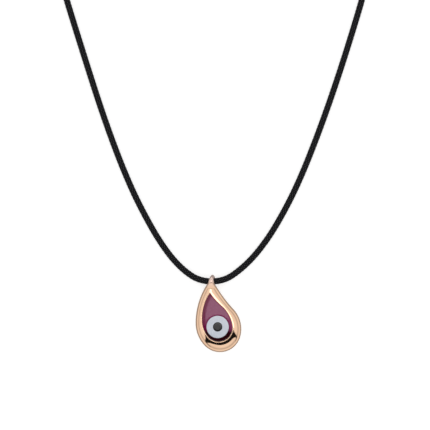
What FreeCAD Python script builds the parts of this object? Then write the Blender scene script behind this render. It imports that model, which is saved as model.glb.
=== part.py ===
import FreeCAD, Part
import math
import os

import Sketcher
from FreeCAD import Placement, Rotation, Vector

# Evil-eye drop pendant on a cord necklace, lying on its back on a flat surface.
# Millimetres. The origin is the middle of the drop at its back: +X to the right of the face, +Y up
# the drop to its bail, +Z out of the face. The cord leaves the bail on both sides, rests on z = 0
# and comes round above the drop, where its two ends lie open.

X_AXIS = Vector(1, 0, 0)
Z_AXIS = Vector(0, 0, 1)

DIMENSIONS = [
    # the drop
    ("drop_width", 15.2, "widest part of the drop"),
    ("drop_length", 25.8, "bottom of the drop to the top of the bail"),
    ("frame_thickness", 3.0, "back of the drop to the front of its rim"),
    ("rim_round", 1.1, "round of the rim's outer front edge"),
    ("back_round", 0.35, "round of the rim's outer back edge"),
    ("lip_round", 0.25, "round of the cell's lip"),
    ("outer_bottom_radius", 7.0, "round bottom of the drop"),
    ("outer_bottom_x", 0.5, "centre of the round bottom"),
    ("outer_left_radius", 10.8, "left bulge"),
    ("outer_right_radius", 9.6, "right bulge"),
    ("outer_left_flank", 23.6, "long left side up to the tongue"),
    ("outer_right_flank", 48.0, "right side up to the tongue, barely hollow"),
    ("tongue_left", -3.85, "left edge of the tongue under the bail"),
    ("tongue_right", -1.1, "right edge of the tongue under the bail"),
    ("tongue_top", 9.6, "where the tongue ends under the bail"),
    # the enamel cell
    ("cell_depth", 1.6, "depth of the cell"),
    ("cell_left", -5.45, "leftmost point of the cell"),
    ("cell_right", 4.7, "rightmost point of the cell"),
    ("cell_bottom", -9.4, "lowest point of the cell"),
    ("cell_bottom_x", 0.05, "centre of the cell's round bottom"),
    ("cell_bottom_radius", 4.6, "round bottom of the cell"),
    ("cell_left_radius", 9.0, "left bulge of the cell"),
    ("cell_right_radius", 10.5, "right bulge of the cell"),
    ("cell_left_flank", 15.8, "left side up to the cell's point"),
    ("cell_right_flank", 20.8, "hollow right side up to the cell's point"),
    ("cell_tip_x", -2.85, "the cell's point"),
    ("cell_tip_y", 6.8, "the cell's point"),
    ("enamel_sink", 0.25, "enamel's surface below the rim"),
    # the eye
    ("eye_x", -0.2, "centre of the eye"),
    ("eye_y", -4.45, "centre of the eye"),
    ("white_radius", 3.75, "white of the eye"),
    ("white_thickness", 0.75, "thickness of the white disc"),
    ("white_proud", 0.12, "white disc above the purple enamel"),
    ("pupil_radius", 1.7, "pupil"),
    ("pupil_thickness", 0.45, "thickness of the pupil"),
    ("pupil_proud", 0.1, "pupil above the white disc"),
    # the bail
    ("bail_radius", 2.2, "outside of the bail"),
    ("bail_bore", 1.2, "inside radius of the bail"),
    ("bail_foot_left", -4.25, "left edge of the bail's strap at its foot"),
    ("bail_foot_right", -1.15, "right edge of the strap at its foot"),
    ("bail_head_left", -2.7, "left edge of the strap at its head"),
    ("bail_head_right", -1.2, "right edge of the strap at its head"),
    # the cord and its end caps
    ("cord_diameter", 2.0, "cord"),
    ("cap_radius", 1.35, "outside of an end cap"),
    ("cap_depth", 5.0, "length of cord inside an end cap"),
    ("cap_end_wall", 0.8, "end wall of a cap"),
    ("cap_chamfer", 0.25, "chamfers of a cap"),
    ("eye_wire", 0.6, "wire of a cap's or the end drop's eye"),
    ("eye_ring_radius", 0.95, "middle radius of that eye"),
    # the jump rings and the extender chain
    ("ring_wire", 0.6, "jump ring wire"),
    ("ring_radius", 1.45, "middle radius of a jump ring"),
    ("link_wire", 0.7, "chain link wire"),
    ("link_width", 2.8, "middle width of a chain link"),
    ("link_length", 4.6, "middle length of a chain link"),
    ("play", 0.1, "play between two rings that hang square in each other"),
    ("clasp_play", 0.33, "play between the clasp's eye and its jump ring, which cross at a slant"),
    # the lobster clasp
    ("clasp_thickness", 2.7, "clasp body"),
    ("clasp_half_width", 2.3, "half width of the clasp body"),
    ("clasp_start", 2.05, "back of the clasp body, from the eye's far wire"),
    ("clasp_end", 6.4, "front of the clasp body"),
    ("clasp_neck", 1.3, "half width of the clasp body beside its eye"),
    ("clasp_shoulder", 1.0, "length over which the body widens from its neck"),
    ("clasp_bevel", 0.8, "bevel of the body's front corner on the hook's side"),
    ("clasp_heel", 1.2, "bevel of the body's front corner on the open side"),
    ("clasp_round", 0.5, "round of the clasp body's front and back edges"),
    ("clasp_eye_wire", 0.6, "wire of the clasp's eye"),
    ("clasp_eye_radius", 1.3, "middle radius of the clasp's eye"),
    ("hook_bar", 1.5, "round bar of the hook"),
    ("hook_radius", 2.2, "middle radius of the hook"),
    ("hook_x", 9.0, "centre of the hook"),
    ("slot_height", 1.2, "slot for the lever"),
    ("slot_wall", 0.5, "wall behind the slot"),
    ("slot_shelf", 0.15, "edge of the slot beside the hook's root"),
    ("lever_thickness", 1.0, "lever"),
    ("lever_width", 0.9, "lever seen from above"),
    ("boss_radius", 0.85, "lever round its rivet"),
    ("rivet_x", 4.1, "rivet"),
    ("rivet_y", -0.7, "rivet"),
    ("rivet_radius", 0.35, "rivet"),
    ("rivet_clearance", 0.05, "lever's hole round the rivet"),
    ("tab_lean", 0.2, "lean of the lever's nail tab"),
    ("tab_length", 3.8, "rivet to the end of the nail tab"),
    ("tip_setback", 0.5, "lever's tip behind the hook's centre"),
    ("tip_gap", 0.05, "lever's tip inside the hook's centre line"),
    ("spring_thickness", 0.15, "leaf spring"),
    ("spring_length", 1.4, "leaf spring"),
    ("spring_height", 0.8, "leaf spring"),
    ("spring_y", -1.9, "near end of the leaf spring"),
    # the drop that ends the extender
    ("end_drop_radius", 1.3, "end drop"),
    ("end_drop_length", 6.5, "end drop without its eye"),
]

# The cord's route: straight runs whose corners are rounded by tangent arcs. It is listed from the
# clasp's end down to the bail and up again to the chain's end, and is level inside the bail.
CORD_ROUTE = [
    (-20.5, 168.2, 1.35),
    (-36.0, 161.0, 1.35),
    (-50.4, 141.5, 1.0),
    (-54.4, 116.8, 1.0),
    (-45.6, 88.3, 1.0),
    (-37.7, 63.6, 1.0),
    (-29.8, 43.0, 1.0),
    (-22.6, 28.9, 1.0),
    (-17.1, 20.3, 1.0),
    (-11.9, 14.5, 1.0),
    (-6.1, 10.7, 2.2),
    (1.7, 10.7, 2.2),
    (7.7, 14.8, 1.0),
    (13.1, 20.3, 1.0),
    (19.1, 28.8, 1.0),
    (26.6, 43.0, 1.0),
    (34.8, 63.8, 1.0),
    (42.8, 87.5, 1.0),
    (51.2, 115.8, 1.0),
    (47.5, 138.5, 1.0),
    (33.5, 153.5, 1.35),
    (16.5, 157.0, 1.35),
]
RUN_SHARE = 0.45  # share of the shorter run that an arc may take

# Headings, in the plane of the surface, of the pieces beyond each end cap.
CLASP_RING_HEADING = 16.0
CLASP_HEADING = 12.0
CHAIN_RING_HEADING = 178.0
FIRST_LINK_HEADING = 188.0
LINK_TURN = 8.0
LINK_COUNT = 10
RING_TILT = 45.0  # eyes, rings and links lean this much, each the other way to its neighbour

doc = FreeCAD.newDocument("evil_eye_necklace")
sheet = doc.addObject("Spreadsheet::Sheet", "dims")
for row, (alias, value, meaning) in enumerate(DIMENSIONS, start=1):
    sheet.set(f"A{row}", meaning)
    sheet.set(f"B{row}", str(value))
    sheet.setAlias(f"B{row}", alias)
doc.recompute()

pieces = []
hinges = {}


def dim(alias):
    """A driving dimension, read from the sheet."""
    return float(sheet.get(alias))


def bind(target, **expressions):
    """Bind an object's properties to expressions over the sheet."""
    for name, expression in expressions.items():
        target.setExpression(name, expression)
    return target


def keep(piece, name, placement=None):
    """Label a finished sub-part, place it and list it for export."""
    piece.Label = name
    if placement is not None:
        piece.Placement = placement
    pieces.append(piece)
    return piece


def new_body(name):
    return doc.addObject("PartDesign::Body", name + "_body")


def origin_feature(body, role):
    return next(part for part in body.Origin.OriginFeatures if part.Role == role)


def new_sketch(body, name, role="XY_Plane"):
    sketch = body.newObject("Sketcher::SketchObject", name)
    sketch.AttachmentSupport = [(origin_feature(body, role), "")]
    sketch.MapMode = "FlatFace"
    return sketch


def sheet_value(expression):
    """The number that an expression over the sheet comes to."""
    return float(sheet.evalExpression(expression))


def constrain(sketch, kind, *geometry, expression=None):
    """Add a constraint, and drive its value by an expression where it has one."""
    if expression is None:
        sketch.addConstraint(Sketcher.Constraint(kind, *geometry))
        return
    value = sheet_value(expression)
    index = sketch.addConstraint(Sketcher.Constraint(kind, *geometry, value))
    sketch.setExpression(f"Constraints[{index}]", expression)


def raised(sketch, expression):
    """Lift a sketch off its plane."""
    sketch.setExpression("AttachmentOffset.Base.z", expression)
    return sketch


def circle_sketch(body, name, radius, x, y, height="0"):
    """One circle; its radius and centre are expressions over the sheet."""
    sketch = new_sketch(body, name)
    circle = sketch.addGeometry(Part.Circle(Vector(0.1, 0.1, 0), Z_AXIS, 1.0))
    constrain(sketch, "Radius", circle, expression=radius)
    constrain(sketch, "DistanceX", circle, 3, expression=x)
    constrain(sketch, "DistanceY", circle, 3, expression=y)
    return raised(sketch, height)


def polygon_sketch(body, name, corners, role="XY_Plane"):
    """A closed polygon whose corners are pairs of expressions over the sheet."""
    sketch = new_sketch(body, name, role)
    count = len(corners)
    spots = [Vector(math.cos(2 * math.pi * i / count), math.sin(2 * math.pi * i / count), 0)
             for i in range(count)]
    for i in range(count):
        sketch.addGeometry(Part.LineSegment(spots[i], spots[(i + 1) % count]))
    for i, (x, y) in enumerate(corners):
        constrain(sketch, "Coincident", i, 2, (i + 1) % count, 1)
        constrain(sketch, "DistanceX", i, 1, expression=x)
        constrain(sketch, "DistanceY", i, 1, expression=y)
    return sketch


def pad(body, name, sketch, length, midplane=False):
    feature = body.newObject("PartDesign::Pad", name)
    feature.Profile = sketch
    feature.setExpression("Length", length)
    feature.Midplane = midplane
    return feature


def pocket(body, name, sketch, depth, midplane=False):
    """Cut a sketch downwards, or evenly both ways, and make sure that it took something away."""
    doc.recompute()
    before = body.Shape.Volume
    feature = body.newObject("PartDesign::Pocket", name)
    feature.Profile = sketch
    feature.setExpression("Length", depth)
    feature.Midplane = midplane
    doc.recompute()
    if not body.Shape.Volume < before - 1e-4:
        raise RuntimeError(f"{name} cuts nothing")
    return feature


def edges_at_height(feature, height, curved_only=True):
    """Names of a feature's edges that lie level at a height."""
    names = []
    for number, edge in enumerate(feature.Shape.Edges, start=1):
        level = all(abs(vertex.Z - height) < 1e-4 for vertex in edge.Vertexes)
        curved = not isinstance(edge.Curve, Part.Line)
        if level and (curved or not curved_only):
            names.append(f"Edge{number}")
    return names


def fillet(body, name, base, edges, radius):
    feature = body.newObject("PartDesign::Fillet", name)
    feature.Base = (base, edges)
    feature.setExpression("Radius", radius)
    return feature


def torus(body, name, radius, wire, centre_x):
    """A ring of round wire added to a body, flat in its XY plane."""
    feature = body.newObject("PartDesign::AdditiveTorus", name)
    return bind(feature, Radius1=radius, Radius2=wire + " / 2", **{"Placement.Base.x": centre_x})


# ---------------------------------------------------------------- the drop

def chord_arc(start, end, radius):
    """The arc from start to end, counter-clockwise, less than half a turn."""
    half = (end - start) / 2
    middle = start + half
    inward = Vector(-half.y, half.x, 0).normalize()
    centre = middle + inward * math.sqrt(radius ** 2 - half.Length ** 2)
    first = math.atan2(start.y - centre.y, start.x - centre.x)
    last = math.atan2(end.y - centre.y, end.x - centre.x)
    return Part.ArcOfCircle(Part.Circle(centre, Z_AXIS, radius), first, last % (2 * math.pi))


def drop_sketch(body, name, prefix, bottom, sides, tips, drawn):
    """
    A leaning drop of five tangent arcs: a round bottom, then a bulge and a flank on each side, the
    right flank hollow. The radii are the sheet's cells that start with prefix. bottom is the centre
    of the round bottom, sides the x of the leftmost and rightmost points, and tips the top ends of
    the left and right flanks: one point, or two that a line joins. drawn holds the places where the
    arcs meet as they are first drawn: bottom left, bottom right, right flank's foot, right tip,
    left tip, left flank's foot.
    """
    sketch = new_sketch(body, name)
    radii = {part: f"dims.{prefix}_{part}" for part in
             ("bottom_radius", "right_radius", "right_flank", "left_flank", "left_radius")}
    low_left, low_right, right_foot, right_tip, left_tip, left_foot = [Vector(*at, 0) for at in drawn]
    round_bottom, right_bulge, right_flank, left_flank, left_bulge = [
        sketch.addGeometry(chord_arc(start, end, sheet_value(alias))) for alias, start, end in (
            (radii["bottom_radius"], low_left, low_right),
            (radii["right_radius"], low_right, right_foot),
            (radii["right_flank"], right_tip, right_foot),
            (radii["left_flank"], left_tip, left_foot),
            (radii["left_radius"], left_foot, low_left))]
    for arc, alias in zip((round_bottom, right_bulge, right_flank, left_flank, left_bulge),
                          radii.values()):
        constrain(sketch, "Radius", arc, expression=alias)
    for first, first_end, second, second_end in ((round_bottom, 2, right_bulge, 1),
                                                 (right_bulge, 2, right_flank, 2),
                                                 (left_flank, 2, left_bulge, 1),
                                                 (left_bulge, 2, round_bottom, 1)):
        constrain(sketch, "Tangent", first, first_end, second, second_end)
    if tips[0] == tips[1]:
        constrain(sketch, "Coincident", right_flank, 1, left_flank, 1)
    else:
        top = sketch.addGeometry(Part.LineSegment(right_tip, left_tip))
        constrain(sketch, "Coincident", right_flank, 1, top, 1)
        constrain(sketch, "Coincident", top, 2, left_flank, 1)
        constrain(sketch, "DistanceX", right_flank, 1, expression=tips[1][0])
        constrain(sketch, "DistanceY", right_flank, 1, expression=tips[1][1])
    constrain(sketch, "DistanceX", left_flank, 1, expression=tips[0][0])
    constrain(sketch, "DistanceY", left_flank, 1, expression=tips[0][1])
    constrain(sketch, "DistanceX", round_bottom, 3, expression=bottom[0])
    constrain(sketch, "DistanceY", round_bottom, 3, expression=bottom[1])
    constrain(sketch, "DistanceX", left_bulge, 3, expression=f"{sides[0]} + {radii['left_radius']}")
    constrain(sketch, "DistanceX", right_bulge, 3, expression=f"{sides[1]} - {radii['right_radius']}")
    return sketch


def cell_sketch(body, name, height):
    """The enamel cell's outline at a height."""
    tip = ("dims.cell_tip_x", "dims.cell_tip_y")
    sketch = drop_sketch(
        body, name, "cell", ("dims.cell_bottom_x", "dims.cell_bottom + dims.cell_bottom_radius"),
        ("dims.cell_left", "dims.cell_right"), (tip, tip),
        ((-3.6, -7.6), (4.6, -4.2), (0.9, 2.3), (-2.85, 6.8), (-2.85, 6.8), (-5.4, -3.1)))
    return raised(sketch, height)


CELL_FLOOR = "dims.frame_thickness - dims.cell_depth"
ENAMEL_TOP = "dims.frame_thickness - dims.enamel_sink"
BAIL_Y = "dims.drop_length / 2 - dims.bail_radius"


def make_drop_frame():
    """The casting: a flat back, a rounded rim, the cell for the enamel and a seat for the bail."""
    body = new_body("drop_frame")
    outline = drop_sketch(
        body, "frame_outline", "outer",
        ("dims.outer_bottom_x", "-dims.drop_length / 2 + dims.outer_bottom_radius"),
        ("-dims.drop_width / 2", "dims.drop_width / 2"),
        (("dims.tongue_left", "dims.tongue_top"), ("dims.tongue_right", "dims.tongue_top")),
        ((-4.5, -10.8), (7.2, -7.8), (5.0, 1.3), (-1.1, 9.6), (-3.85, 9.6), (-7.6, -3.3)))
    plate = pad(body, "frame_plate", outline, "dims.frame_thickness")
    doc.recompute()
    front = fillet(body, "rim_front", plate, edges_at_height(plate, dim("frame_thickness")),
                   "dims.rim_round")
    doc.recompute()
    back = fillet(body, "rim_back", front, edges_at_height(front, 0.0), "dims.back_round")
    doc.recompute()
    cell = pocket(body, "cell", cell_sketch(body, "cell_outline", "dims.frame_thickness"),
                  "dims.cell_depth")
    lip_edges = [name for name in edges_at_height(cell, dim("frame_thickness"))
                 if is_inside_rim(cell.Shape.getElement(name))]
    lip = fillet(body, "cell_lip", cell, lip_edges, "dims.lip_round")
    seat = body.newObject("PartDesign::SubtractiveCylinder", "bail_seat")
    bind(seat, Radius="dims.bail_radius", Height="dims.drop_width")
    seat.Placement.Rotation = Rotation(Vector(0, 1, 0), 90)
    bind(seat, **{"Placement.Base.x": "-dims.drop_width / 2", "Placement.Base.y": BAIL_Y,
                  "Placement.Base.z": "dims.bail_radius"})
    keep(body, "drop_frame")


def is_inside_rim(edge):
    """True for an edge of the cell's lip, which lies on the cell's own arcs."""
    radii = [dim("cell_" + part) for part in
             ("bottom_radius", "right_radius", "right_flank", "left_flank", "left_radius")]
    return any(abs(edge.Curve.Radius - radius) < 1e-4 for radius in radii)


def make_purple_enamel():
    """Enamel that fills the cell, with a round well for the white disc."""
    body = new_body("purple_enamel")
    pad(body, "enamel_fill", cell_sketch(body, "enamel_outline", CELL_FLOOR),
        "dims.cell_depth - dims.enamel_sink")
    well = circle_sketch(body, "well_circle", "dims.white_radius", "dims.eye_x", "dims.eye_y",
                         ENAMEL_TOP)
    pocket(body, "eye_well", well, "dims.white_thickness - dims.white_proud")
    keep(body, "purple_enamel")


def make_eye():
    """The white disc in the enamel and the pupil in the white disc, each a little proud."""
    white_top = ENAMEL_TOP + " + dims.white_proud"
    body = new_body("white_enamel_disc")
    base = circle_sketch(body, "white_circle", "dims.white_radius", "dims.eye_x", "dims.eye_y",
                         white_top + " - dims.white_thickness")
    pad(body, "white_disc", base, "dims.white_thickness")
    well = circle_sketch(body, "pupil_circle", "dims.pupil_radius", "dims.eye_x", "dims.eye_y",
                         white_top)
    pocket(body, "pupil_well", well, "dims.pupil_thickness - dims.pupil_proud")
    keep(body, "white_enamel_disc")

    body = new_body("pupil")
    base = circle_sketch(body, "pupil_base", "dims.pupil_radius", "dims.eye_x", "dims.eye_y",
                         white_top + " + dims.pupil_proud - dims.pupil_thickness")
    pad(body, "pupil_disc", base, "dims.pupil_thickness")
    keep(body, "pupil")


def cylinder(name, radius, height, placement):
    feature = bind(doc.addObject("Part::Cylinder", name), Radius=radius, Height=height)
    feature.Placement = placement
    return feature


def make_bail_loop():
    """A ring round the cord, narrowed to a strap that tapers and leans towards its head."""
    axis = Placement(Vector(-dim("drop_width") / 2, sheet_value(BAIL_Y), dim("bail_radius")),
                     Rotation(Vector(0, 1, 0), 90))
    ring = doc.addObject("Part::Cut", "bail_ring")
    ring.Base = cylinder("bail_outside", "dims.bail_radius", "dims.drop_width", axis)
    ring.Tool = cylinder("bail_inside", "dims.bail_bore", "dims.drop_width", axis)
    strap = doc.addObject("Part::Wedge", "bail_strap")
    bind(strap, Xmin="dims.bail_foot_left", Xmax="dims.bail_foot_right",
         X2min="dims.bail_head_left", X2max="dims.bail_head_right",
         Ymin=BAIL_Y + " - dims.bail_radius", Ymax="dims.drop_length / 2",
         Zmin="0", Zmax="2 * dims.bail_radius", Z2min="0", Z2max="2 * dims.bail_radius")
    loop = doc.addObject("Part::Common", "bail_loop_strap")
    loop.Base = ring
    loop.Tool = strap
    keep(loop, "bail_loop")


# ---------------------------------------------------------------- the cord

def cord_path(route):
    """Straight runs joined by tangent arcs; prints each arc's radius."""
    points = [Vector(*at) for at in route]
    edges = []
    at = points[0]
    for before, corner, after in zip(points, points[1:], points[2:]):
        back = before - corner
        on = after - corner
        half_turn = (math.pi - back.getAngle(on)) / 2
        cut = RUN_SHARE * min(back.Length, on.Length)
        radius = cut / math.tan(half_turn)
        start = corner + back.normalize() * cut
        end = corner + on.normalize() * cut
        to_centre = (back + on).normalize()
        crown = corner + to_centre * (radius / math.cos(half_turn) - radius)
        edges.append(Part.LineSegment(at, start).toShape())
        edges.append(Part.Arc(start, crown, end).toShape())
        print(f"cord arc at {corner.x:6.1f} {corner.y:6.1f}: turn {math.degrees(2 * half_turn):4.1f} deg,"
              f" radius {radius:5.1f} mm")
        at = end
    edges.append(Part.LineSegment(at, points[-1]).toShape())
    return Part.Wire(edges)


def make_cord():
    path = doc.addObject("Part::Feature", "cord_path")
    path.Shape = cord_path(CORD_ROUTE)
    start = Vector(*CORD_ROUTE[0])
    section = bind(doc.addObject("Part::Circle", "cord_section"), Radius="dims.cord_diameter / 2")
    section.Placement = Placement(start, Rotation(Z_AXIS, Vector(*CORD_ROUTE[1]) - start))
    tube = doc.addObject("Part::Sweep", "cord_tube")
    tube.Sections = [section]
    tube.Spine = (path, [f"Edge{number + 1}" for number in range(len(path.Shape.Edges))])
    tube.Solid = True
    keep(tube, "cord")
    doc.recompute()
    length = path.Shape.Length
    expected = math.pi * (dim("cord_diameter") / 2) ** 2 * length
    print(f"cord length {length:.1f} mm, volume {tube.Shape.Volume:.1f} of {expected:.1f} mm3")
    if abs(tube.Shape.Volume / expected - 1) > 0.005:
        raise RuntimeError("the cord's tube isn't its section times its length")


# ---------------------------------------------------------------- caps, rings, chain and clasp

def facing(heading, tilt):
    """X along a heading in the plane of the surface, then tilted about that X."""
    return Rotation(Z_AXIS, heading) * Rotation(X_AXIS, tilt)


def end_wire(placement, length):
    """
    The next hinge: where the far end wire of a piece is, and the direction that it runs there, taken
    so that a positive turn lifts what hangs on it.
    """
    return placement.multVec(Vector(length, 0, 0)), placement.Rotation.multVec(Vector(0, -1, 0))


def hang(name, hinge, heading, tilt, own_wire, held_wire, play="play"):
    """
    The placement of a piece that hangs by its near end wire in the end wire of another. Its own
    origin is the middle of its near wire, which is drawn back inside the other's ring.
    """
    point, axis = hinge
    hinges[name] = (point, axis)
    rotation = facing(heading, tilt)
    back = (dim(own_wire) + dim(held_wire)) / 2 + dim(play)
    return Placement(point - rotation.multVec(X_AXIS) * back, rotation)


def make_end_cap(name, cord_end, before_end, tilt):
    """A cup glued over the cord's end, with a cast eye. Its origin is the cord's end."""
    body = new_body(name)
    wall = "dims.cord_diameter / 2"
    outside = "dims.cap_radius"
    profile = polygon_sketch(body, name + "_profile", (
        ("0", "0"),
        ("dims.cap_end_wall", "0"),
        ("dims.cap_end_wall", outside + " - dims.cap_chamfer"),
        ("dims.cap_end_wall - dims.cap_chamfer", outside),
        ("-dims.cap_depth + dims.cap_chamfer", outside),
        ("-dims.cap_depth", outside + " - dims.cap_chamfer"),
        ("-dims.cap_depth", wall),
        ("0", wall)))
    cup = body.newObject("PartDesign::Revolution", name + "_cup")
    cup.Profile = profile
    cup.ReferenceAxis = (profile, ["H_Axis"])
    cup.Angle = 360
    torus(body, name + "_eye", "dims.eye_ring_radius", "dims.eye_wire",
          "dims.cap_end_wall + dims.eye_ring_radius - dims.eye_wire / 4")
    run = Vector(*cord_end) - Vector(*before_end)
    heading = math.degrees(math.atan2(run.y, run.x))
    placement = Placement(Vector(*cord_end), facing(heading, tilt))
    keep(body, name, placement)
    return end_wire(placement, dim("cap_end_wall") + 2 * dim("eye_ring_radius") - dim("eye_wire") / 4)


def make_jump_ring(name, hinge, heading, tilt):
    ring = bind(doc.addObject("Part::Torus", name + "_torus"),
                Radius1="dims.ring_radius", Radius2="dims.ring_wire / 2")
    placement = hang(name, hinge, heading, tilt, "ring_wire", "eye_wire")
    centre = Placement(Vector(dim("ring_radius"), 0, 0), Rotation())
    keep(ring, name, placement * centre)
    return end_wire(placement, 2 * dim("ring_radius"))


def make_chain_link(name, hinge, heading, tilt, held_wire):
    """An oval link: two half rings joined by straight wires."""
    half_width = dim("link_width") / 2
    straight = "dims.link_length - dims.link_width"
    parts = []
    for end, centre_x, turn in (("near", half_width, 90), ("far", dim("link_length") - half_width, -90)):
        half_ring = bind(doc.addObject("Part::Torus", f"{name}_{end}"), Radius1="dims.link_width / 2",
                         Radius2="dims.link_wire / 2")
        half_ring.Angle3 = 180
        half_ring.Placement = Placement(Vector(centre_x, 0, 0), Rotation(Z_AXIS, turn))
        parts.append(half_ring)
    for side, offset in (("left", half_width), ("right", -half_width)):
        parts.append(cylinder(f"{name}_{side}", "dims.link_wire / 2", straight,
                              Placement(Vector(half_width, offset, 0), Rotation(Vector(0, 1, 0), 90))))
    link = doc.addObject("Part::MultiFuse", name + "_fused")
    link.Shapes = parts
    placement = hang(name, hinge, heading, tilt, "link_wire", held_wire)
    keep(link, name, placement)
    return end_wire(placement, dim("link_length"))


def make_end_drop(hinge, heading, tilt):
    """A small solid drop on an eye of its own."""
    body = new_body("end_drop")
    neck = "2 * dims.eye_ring_radius - dims.eye_wire / 4"
    centre = neck + " + dims.end_drop_length - dims.end_drop_radius"
    cone = body.newObject("PartDesign::AdditiveCone", "end_drop_cone")
    cone.Placement.Rotation = Rotation(Vector(0, 1, 0), 90)
    bind(cone, Radius1="dims.eye_wire / 2", Radius2="dims.end_drop_radius",
         Height="dims.end_drop_length - dims.end_drop_radius", **{"Placement.Base.x": neck})
    ball = body.newObject("PartDesign::AdditiveSphere", "end_drop_ball")
    bind(ball, Radius="dims.end_drop_radius", **{"Placement.Base.x": centre})
    torus(body, "end_drop_eye", "dims.eye_ring_radius", "dims.eye_wire", "dims.eye_ring_radius")
    keep(body, "end_drop", hang("end_drop", hinge, heading, tilt, "eye_wire", "link_wire"))


HOOK_FROM = 110.0  # where the hook's arc starts, degrees round its centre
HOOK_TO = -80.0  # and where it ends, beside the lever's tip
HOOK_ROOT = 3.0  # straight bar between the clasp body and the hook's arc


def hook_path_sketch(body):
    """The hook's centre line: a straight bar out of the clasp body, then the arc round the front."""
    sketch = new_sketch(body, "hook_path")
    centre = Vector(dim("hook_x"), 0, 0)
    radius = dim("hook_radius")
    arc = Part.ArcOfCircle(Part.Circle(centre, Z_AXIS, radius),
                           math.radians(HOOK_TO), math.radians(HOOK_FROM))
    outward = Rotation(Z_AXIS, HOOK_FROM).multVec(X_AXIS)
    top = centre + outward * radius
    root = top + Vector(-outward.y, outward.x, 0) * HOOK_ROOT
    sketch.addGeometry(arc)
    sketch.addGeometry(Part.LineSegment(top, root))
    constrain(sketch, "Tangent", 0, 2, 1, 1)
    constrain(sketch, "Radius", 0, expression="dims.hook_radius")
    constrain(sketch, "DistanceX", 0, 3, expression="dims.hook_x")
    constrain(sketch, "DistanceY", 0, 3, expression="0")
    return sketch, root, outward


def make_clasp_body(placement):
    """Eye, slotted body and hook in one casting."""
    body = new_body("clasp_body")
    half = "dims.clasp_half_width"
    start, end = "dims.clasp_start", "dims.clasp_end"
    shoulder = start + " + dims.clasp_shoulder"
    outline = polygon_sketch(body, "clasp_outline", (
        (end, "-" + half + " + dims.clasp_heel"), (end, half + " - dims.clasp_bevel"),
        (end + " - dims.clasp_bevel", half), (shoulder, half),
        (start, "dims.clasp_neck"), (start, "-dims.clasp_neck"), (shoulder, "-" + half),
        (end + " - dims.clasp_heel", "-" + half)))
    block = pad(body, "clasp_block", outline, "dims.clasp_thickness", midplane=True)
    doc.recompute()
    faces = [name for height in (-0.5, 0.5) for name in
             edges_at_height(block, height * dim("clasp_thickness"), curved_only=False)]
    fillet(body, "clasp_rounds", block, faces, "dims.clasp_round")
    torus(body, "clasp_eye", "dims.clasp_eye_radius", "dims.clasp_eye_wire", "dims.clasp_eye_radius")
    path, root, outward = hook_path_sketch(body)
    section = new_sketch(body, "hook_section")
    section.MapMode = "Deactivated"
    section.Placement = Placement(root, Rotation(Z_AXIS, Vector(-outward.y, outward.x, 0)))
    section.addGeometry(Part.Circle(Vector(0, 0, 0), Z_AXIS, dim("hook_bar") / 2))
    constrain(section, "Radius", 0, expression="dims.hook_bar / 2")
    constrain(section, "Coincident", 0, 3, -1, 1)
    hook = body.newObject("PartDesign::AdditivePipe", "hook")
    hook.Profile = section
    hook.Spine = (path, ["Edge1", "Edge2"])
    doc.recompute()
    front, wall, outside = end + " + dims.hook_bar", start + " + dims.slot_wall", "2 * " + half
    beside_boss = "dims.rivet_x + dims.boss_radius"
    slot = polygon_sketch(body, "slot_outline", (
        (front, "-" + outside), (front, "dims.slot_shelf"), (beside_boss, "dims.slot_shelf"),
        (beside_boss, outside), (wall, outside), (wall, "-" + outside)))
    pocket(body, "lever_slot", slot, "dims.slot_height", midplane=True)
    bore = circle_sketch(body, "rivet_circle", "dims.rivet_radius", "dims.rivet_x", "dims.rivet_y")
    pocket(body, "rivet_bore", bore, "2 * dims.clasp_thickness", midplane=True)
    keep(body, "clasp_body", placement)


def rounded_bar(name, start, end, radius):
    """A bar of the lever with round ends, seen from above; start and end are points."""
    run = Vector(*end, 0) - Vector(*start, 0)
    low = Vector(0, 0, -dim("lever_thickness") / 2)
    turn = Rotation(X_AXIS, run)
    bar = bind(doc.addObject("Part::Box", name), Width="dims.lever_width",
               Height="dims.lever_thickness")
    bar.Length = run.Length
    bar.Placement = Placement(Vector(*start, 0) + low - turn.multVec(Vector(0, radius, 0)), turn)
    ends = [cylinder(f"{name}_{label}", "dims.lever_width / 2", "dims.lever_thickness",
                     Placement(Vector(*at, 0) + low, Rotation()))
            for label, at in (("start", start), ("end", end))]
    return [bar, *ends]


def make_clasp_lever(placement):
    """The gate, with a nail tab on the far side of its rivet."""
    rivet = (dim("rivet_x"), dim("rivet_y"))
    tab = (rivet[0] + dim("tab_lean"), rivet[1] + dim("tab_length"))
    tip = (dim("hook_x") - dim("tip_setback"), -dim("hook_radius") + dim("tip_gap"))
    low = Vector(*rivet, -dim("lever_thickness") / 2)
    solid = doc.addObject("Part::MultiFuse", "lever_solid")
    solid.Shapes = [
        *rounded_bar("lever_tail", rivet, tab, dim("lever_width") / 2),
        *rounded_bar("lever_gate", rivet, tip, dim("lever_width") / 2),
        cylinder("lever_boss", "dims.boss_radius", "dims.lever_thickness", Placement(low, Rotation()))]
    lever = doc.addObject("Part::Cut", "lever_drilled")
    lever.Base = solid
    lever.Tool = cylinder("lever_hole", "dims.rivet_radius + dims.rivet_clearance",
                          "dims.lever_thickness", Placement(low, Rotation()))
    keep(lever, "clasp_lever", placement)
    hinges["clasp_lever"] = (placement.multVec(Vector(*rivet, 0)),
                             placement.Rotation.multVec(Z_AXIS))


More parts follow.
